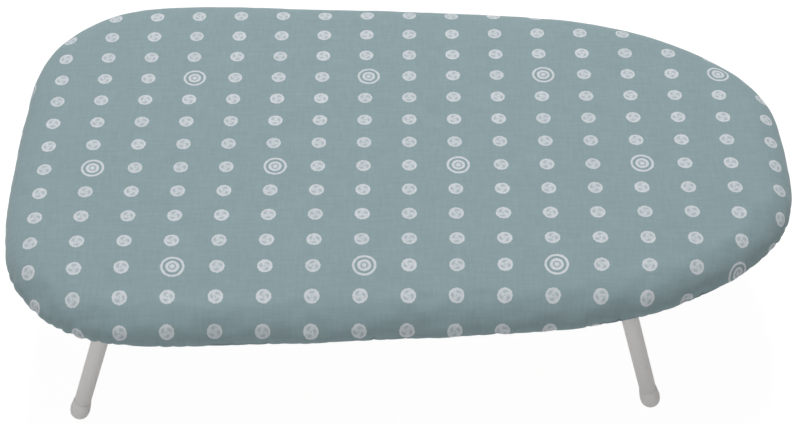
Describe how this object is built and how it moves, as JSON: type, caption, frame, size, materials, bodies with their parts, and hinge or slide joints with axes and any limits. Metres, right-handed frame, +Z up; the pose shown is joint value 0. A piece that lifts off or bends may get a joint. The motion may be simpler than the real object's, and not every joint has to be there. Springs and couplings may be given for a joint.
{
  "type": "tabletop ironing board",
  "caption": "Tabletop ironing board with a padded cloth-covered mesh top, a rounded tail, a tapered nose and folding tube leg frames.",
  "frame": {"origin": "on the table, under the middle of the board's length and width, with the legs open", "axes": "+X towards the tapered nose, +Y towards the far side, +Z up"},
  "size_m": [0.6, 0.351, 0.17],
  "materials": {
    "cover_cloth": "printed plain-weave cotton",
    "pad_felt": "needled felt and foam",
    "hem_elastic": "braided elastic",
    "board_steel": "satin powder coat",
    "leg_steel": "satin powder coat",
    "foot_plastic": "moulded, matt",
    "bearing_plastic": "moulded, matt",
    "zinc_steel": "zinc plated"
  },
  "bodies": {
    "board": {"cover": "cover_cloth", "pad": "pad_felt", "hem_elastic": "hem_elastic", "mesh_top": "board_steel", "rim_tube": "board_steel", "tail_channel": "board_steel", "nose_channel": "board_steel", "tail_near_bearing_block": "bearing_plastic", "tail_far_bearing_block": "bearing_plastic", "nose_near_bearing_block": "bearing_plastic", "nose_far_bearing_block": "bearing_plastic", "tail_near_saddle_strap": "zinc_steel", "tail_far_saddle_strap": "zinc_steel", "nose_near_saddle_strap": "zinc_steel", "nose_far_saddle_strap": "zinc_steel", "tail_near_outer_rivet": "zinc_steel", "tail_near_inner_rivet": "zinc_steel", "tail_far_outer_rivet": "zinc_steel", "tail_far_inner_rivet": "zinc_steel", "nose_near_outer_rivet": "zinc_steel", "nose_near_inner_rivet": "zinc_steel", "nose_far_outer_rivet": "zinc_steel", "nose_far_inner_rivet": "zinc_steel", "tail_near_leg_stop": "board_steel", "tail_far_leg_stop": "board_steel", "nose_near_leg_stop": "board_steel", "nose_far_leg_stop": "board_steel"},
    "tail_leg": {"tail_leg_frame": "leg_steel", "tail_near_foot_cap": "foot_plastic", "tail_far_foot_cap": "foot_plastic"},
    "nose_leg": {"nose_leg_frame": "leg_steel", "nose_near_foot_cap": "foot_plastic", "nose_far_foot_cap": "foot_plastic"}
  },
  "joints": [
    {"name": "tail_leg_fold", "type": "hinge", "parent": "board", "child": "tail_leg", "pos_m": [-0.216, 0, 0.13], "axis": [0, 1, 0], "range_deg": [-106.7, 0]},
    {"name": "nose_leg_fold", "type": "hinge", "parent": "board", "child": "nose_leg", "pos_m": [0.166, 0, 0.13], "axis": [0, 1, 0], "range_deg": [0, 105]}
  ]
}
